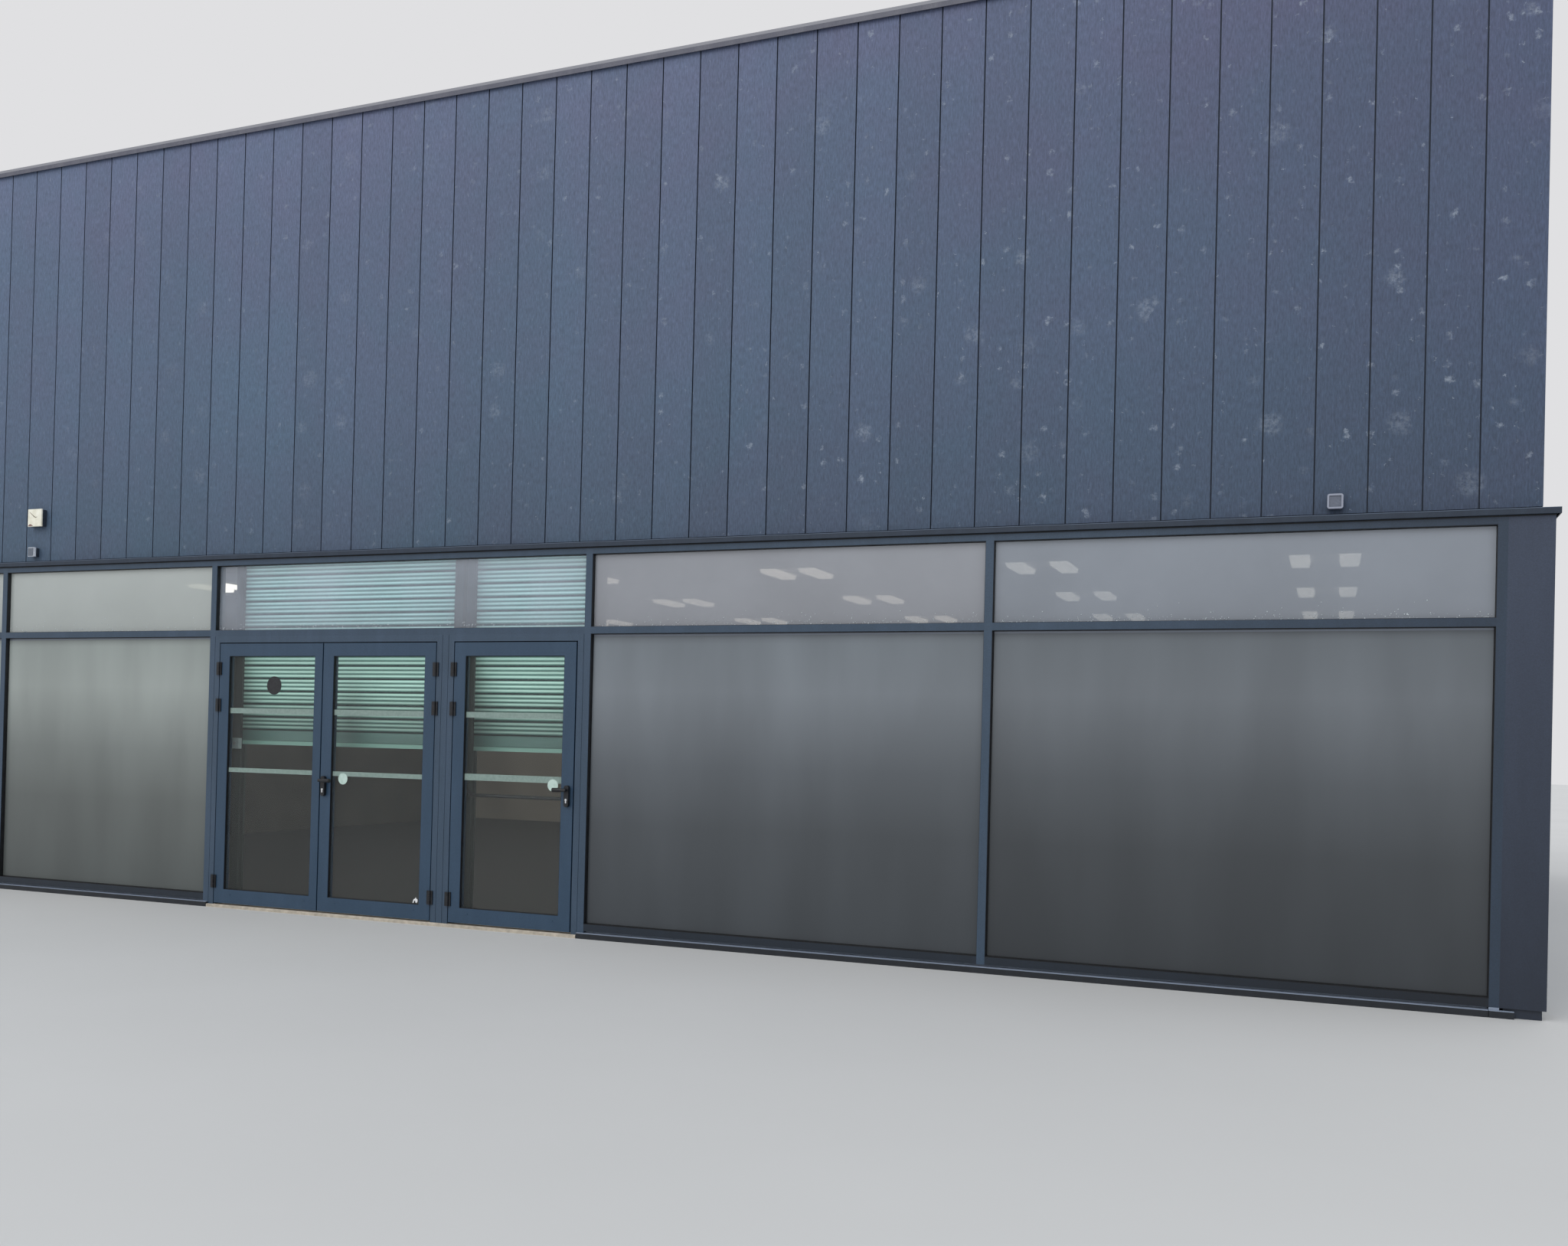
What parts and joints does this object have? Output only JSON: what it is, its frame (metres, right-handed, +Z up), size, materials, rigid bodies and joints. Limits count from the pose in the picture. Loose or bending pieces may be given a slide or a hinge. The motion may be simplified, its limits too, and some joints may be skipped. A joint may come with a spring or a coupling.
{
  "type": "supermarket building",
  "caption": "Hollow retail building with plank-clad upper walls over a glazed shopfront, hinged glass doors with levers and a push bar, roller shutters behind, and a parapet roof.",
  "frame": {"origin": "bottom centre of the whole building's box, on the ground", "axes": "+X to the right along the shopfront as seen from outside, +Y into the building away from the shopfront, +Z up"},
  "size_m": [15.582, 12.1, 6.5],
  "materials": {
    "floor": "satin",
    "threshold": "matte",
    "lining": "satin",
    "cladding": "satin",
    "frame_paint": "satin",
    "flashing": "satin",
    "coping_paint": "satin",
    "deck": "satin",
    "membrane": "matte",
    "ceiling_board": "matte",
    "diffuser": "satin",
    "glass": "polished",
    "film": "satin",
    "shutter": "satin",
    "casing": "satin",
    "black_metal": "satin",
    "siren_cover": "satin",
    "sensor_cover": "matte",
    "lamp_body": "satin",
    "door_paint": "satin",
    "door_glass": "polished"
  },
  "bodies": {
    "building": {"floor_slab": "floor", "door_threshold": "threshold", "front_wall": "lining", "left_wall": "lining", "right_wall": "lining", "rear_wall": "lining", "front_cladding": "cladding", "left_cladding": "cladding", "right_cladding": "cladding", "rear_cladding": "cladding", "corner_piers": "frame_paint", "ledge_flashing": "flashing", "coping": "coping_paint", "roof_deck": "deck", "roof_membrane": "membrane", "ceiling": "ceiling_board", "ceiling_lights": "diffuser", "mullions": "frame_paint", "shopfront_rails": "frame_paint", "sill_flashings": "flashing", "door_jambs": "frame_paint", "door_heads": "frame_paint", "transom_panes": "glass", "lower_panes": "glass", "privacy_films": "film", "shutter_curtains": "shutter", "shutter_casings": "casing", "frame_hinges": "black_metal", "alarm_siren": "siren_cover", "wall_sensor": "sensor_cover", "wall_lamp": "lamp_body"},
    "door_left": {"left_leaf_frame": "door_paint", "left_leaf_glass": "door_glass", "left_leaf_hinges": "black_metal"},
    "door_right": {"right_leaf_frame": "door_paint", "right_leaf_glass": "door_glass", "right_leaf_hinges": "black_metal", "right_lock_plate": "black_metal"},
    "door_single": {"single_leaf_frame": "door_paint", "single_leaf_glass": "door_glass", "single_leaf_hinges": "black_metal", "single_lock_plate": "black_metal", "push_bar_brackets": "black_metal"},
    "lever_right": {"right_lever": "black_metal"},
    "lever_single": {"single_lever": "black_metal"},
    "push_bar": {"push_bar": "black_metal"}
  },
  "joints": [
    {"name": "left_door_swing", "type": "hinge", "parent": "building", "child": "door_left", "pos_m": [-1.986, -5.987, 0], "axis": [0, 0, -1], "range_deg": [0, 90]},
    {"name": "right_door_swing", "type": "hinge", "parent": "building", "child": "door_right", "pos_m": [0.169, -5.987, 0], "axis": [0, 0, 1], "range_deg": [0, 90]},
    {"name": "single_door_swing", "type": "hinge", "parent": "building", "child": "door_single", "pos_m": [0.335, -5.987, 0], "axis": [0, 0, -1], "range_deg": [0, 90]},
    {"name": "right_lever_turn", "type": "hinge", "parent": "door_right", "child": "lever_right", "pos_m": [-0.871, -6.015, 1.084], "axis": [0, 1, 0], "range_deg": [0, 40], "stiffness_Nm_per_rad": 2, "springref_deg": -17.19},
    {"name": "single_lever_turn", "type": "hinge", "parent": "door_single", "child": "lever_single", "pos_m": [1.367, -6.015, 1.084], "axis": [0, -1, 0], "range_deg": [0, 40], "stiffness_Nm_per_rad": 2, "springref_deg": -17.19},
    {"name": "push_bar_press", "type": "hinge", "parent": "door_single", "child": "push_bar", "pos_m": [0.874, -5.889, 1.05], "axis": [-1, 0, 0], "range_deg": [0, 14], "stiffness_Nm_per_rad": 20, "springref_deg": -17.19}
  ]
}
